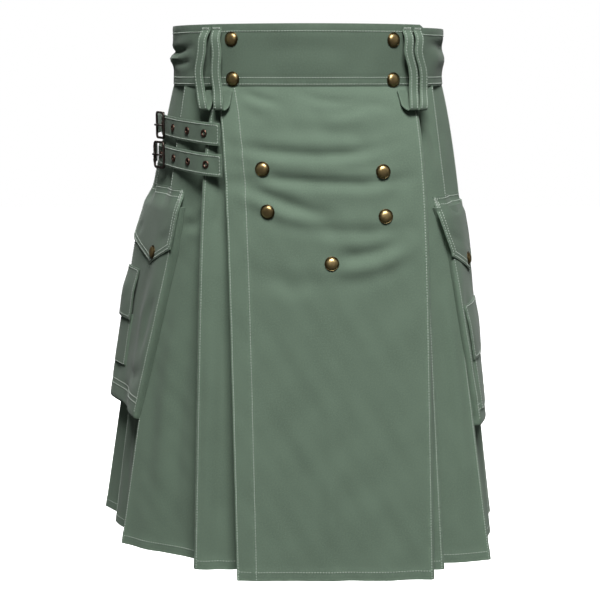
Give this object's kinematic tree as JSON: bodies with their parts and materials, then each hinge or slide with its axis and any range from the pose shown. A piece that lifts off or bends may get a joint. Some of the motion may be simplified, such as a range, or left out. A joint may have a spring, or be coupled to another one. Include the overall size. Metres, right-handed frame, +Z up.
{
  "type": "utility kilt",
  "caption": "Knee-length cotton utility kilt with a flat front apron, knife pleats, drop belt loops, buckled hip straps, snaps and cargo pockets.",
  "frame": {"origin": "centre of the waist opening, on the body's axis at half the waistband's height", "axes": "+Z up along the body, front facing -Y, the wearer's left at +X"},
  "size_m": [0.4987, 0.3682, 0.61],
  "materials": {
    "kilt_cloth": "matt sage-green cotton twill with pale contrast stitching",
    "tape_cloth": "the same twill folded double into straps and loops",
    "snap_brass": "antique brass, worn bright on the dome",
    "buckle_metal": "dark antique bronze plating, satin"
  },
  "bodies": {
    "root": {"belt_loop_back_1": "tape_cloth", "belt_loop_back_2": "tape_cloth", "belt_loop_left_1": "tape_cloth", "belt_loop_left_2": "tape_cloth", "belt_loop_right_1": "tape_cloth", "belt_loop_right_2": "tape_cloth", "buckle_frame_lower": "buckle_metal", "buckle_frame_upper": "buckle_metal", "buckle_prong_lower": "buckle_metal", "buckle_prong_upper": "buckle_metal", "buckle_tab_lower": "tape_cloth", "buckle_tab_upper": "tape_cloth", "centre_back_underlay": "kilt_cloth", "left_pleat_1": "kilt_cloth", "left_pleat_2": "kilt_cloth", "left_pleat_3": "kilt_cloth", "left_pleat_4": "kilt_cloth", "left_pleat_5": "kilt_cloth", "left_pleat_6": "kilt_cloth", "left_pleat_7": "kilt_cloth", "left_pleat_8": "kilt_cloth", "left_pocket_bag": "kilt_cloth", "left_pocket_flap": "kilt_cloth", "left_small_flap": "kilt_cloth", "left_small_pocket": "kilt_cloth", "over_apron": "kilt_cloth", "right_pleat_1": "kilt_cloth", "right_pleat_2": "kilt_cloth", "right_pleat_3": "kilt_cloth", "right_pleat_4": "kilt_cloth", "right_pleat_5": "kilt_cloth", "right_pleat_6": "kilt_cloth", "right_pleat_7": "kilt_cloth", "right_pleat_8": "kilt_cloth", "right_pocket_bag": "kilt_cloth", "right_pocket_flap": "kilt_cloth", "right_small_flap": "kilt_cloth", "right_small_pocket": "kilt_cloth", "snap_apron_left_middle": "snap_brass", "snap_apron_left_top": "snap_brass", "snap_apron_low": "snap_brass", "snap_apron_right_middle": "snap_brass", "snap_apron_right_top": "snap_brass", "snap_band_left_low": "snap_brass", "snap_band_left_top": "snap_brass", "snap_band_right_low": "snap_brass", "snap_band_right_top": "snap_brass", "snap_left_pocket": "snap_brass", "snap_right_pocket": "snap_brass", "strap_lower": "tape_cloth", "strap_upper": "tape_cloth", "under_apron": "kilt_cloth", "waistband_back": "kilt_cloth", "waistband_front": "kilt_cloth"}
  },
  "joints": []
}
